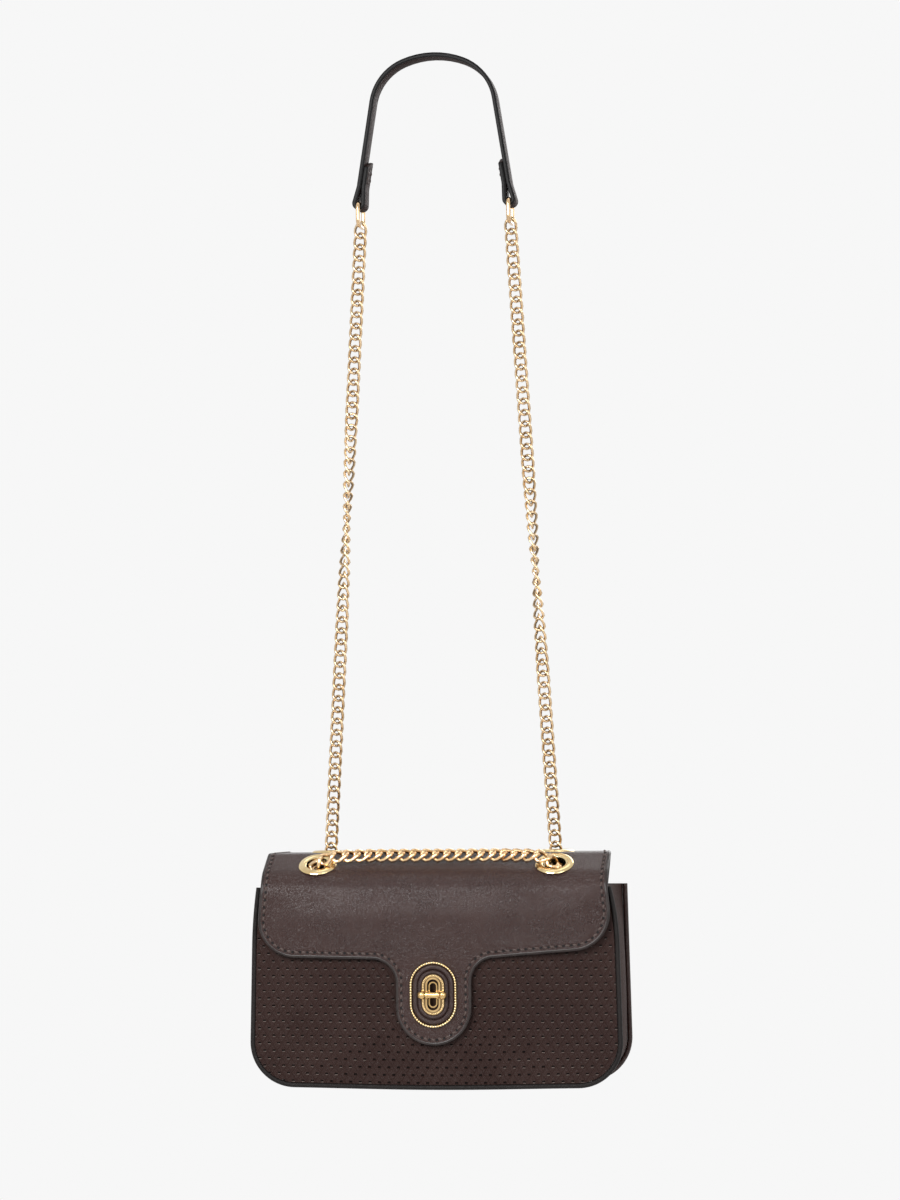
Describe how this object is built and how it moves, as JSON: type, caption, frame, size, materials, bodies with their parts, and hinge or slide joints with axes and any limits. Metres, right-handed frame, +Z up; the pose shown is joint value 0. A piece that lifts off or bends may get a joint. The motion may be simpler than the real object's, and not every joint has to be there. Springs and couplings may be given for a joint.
{
  "type": "chain shoulder bag",
  "caption": "Small leather shoulder bag with a tongued flap, an oval turn lock, domed eyelets, a curb-chain handle drawn through them and a leather strap over the shoulder.",
  "frame": {"origin": "underside of the strap's crown, where it lies on a shoulder", "axes": "+Z up, +X to the right of the bag's front, front faces -Y"},
  "size_m": [0.2476, 0.0792, 0.6885],
  "materials": {
    "leather": "smooth, softly glossy, fine grain",
    "embossed_leather": "satin, with rows of small square pits",
    "edge_leather": "glossy, nearly black",
    "lining_fabric": "matt twill",
    "board": "matt",
    "gold": "polished pale rose gold"
  },
  "bodies": {
    "strap": {"shoulder_strap": "leather", "left_end_ring": "gold", "right_end_ring": "gold"},
    "bag": {"front_panel": "embossed_leather", "back_panel": "embossed_leather", "gusset": "leather", "front_piping": "edge_leather", "back_piping": "edge_leather", "lining": "lining_fabric", "base_board": "board", "slip_pocket": "lining_fabric", "top_panel": "leather", "left_back_eyelet": "gold", "right_back_eyelet": "gold", "back_eyelet_washers": "gold", "left_chain": "gold", "right_chain": "gold", "left_inner_chain": "gold", "right_inner_chain": "gold", "lock_base": "gold", "lock_washer": "gold"},
    "flap": {"flap": "leather", "flap_lining": "lining_fabric", "left_front_eyelet": "gold", "right_front_eyelet": "gold", "front_eyelet_washers": "gold", "top_chain": "gold", "lock_rim": "gold", "lock_pad": "leather", "slot_plate": "gold", "lock_back_plate": "gold"},
    "knob": {"turn_knob": "gold"}
  },
  "joints": [
    {"name": "bag_swing", "type": "hinge", "parent": "strap", "child": "bag", "pos_m": [0, 0, -0.1089], "axis": [1, 0, 0], "range_deg": [-20, 20]},
    {"name": "flap_open", "type": "hinge", "parent": "bag", "child": "flap", "pos_m": [0, -0.01026, -0.5331], "axis": [-1, 0, 0], "range_deg": [0, 120], "deforming": ["left_inner_chain", "right_inner_chain"]},
    {"name": "knob_turn", "type": "hinge", "parent": "bag", "child": "knob", "pos_m": [0, -0.042, -0.6242], "axis": [0, -1, 0], "range_deg": [0, 90]}
  ]
}
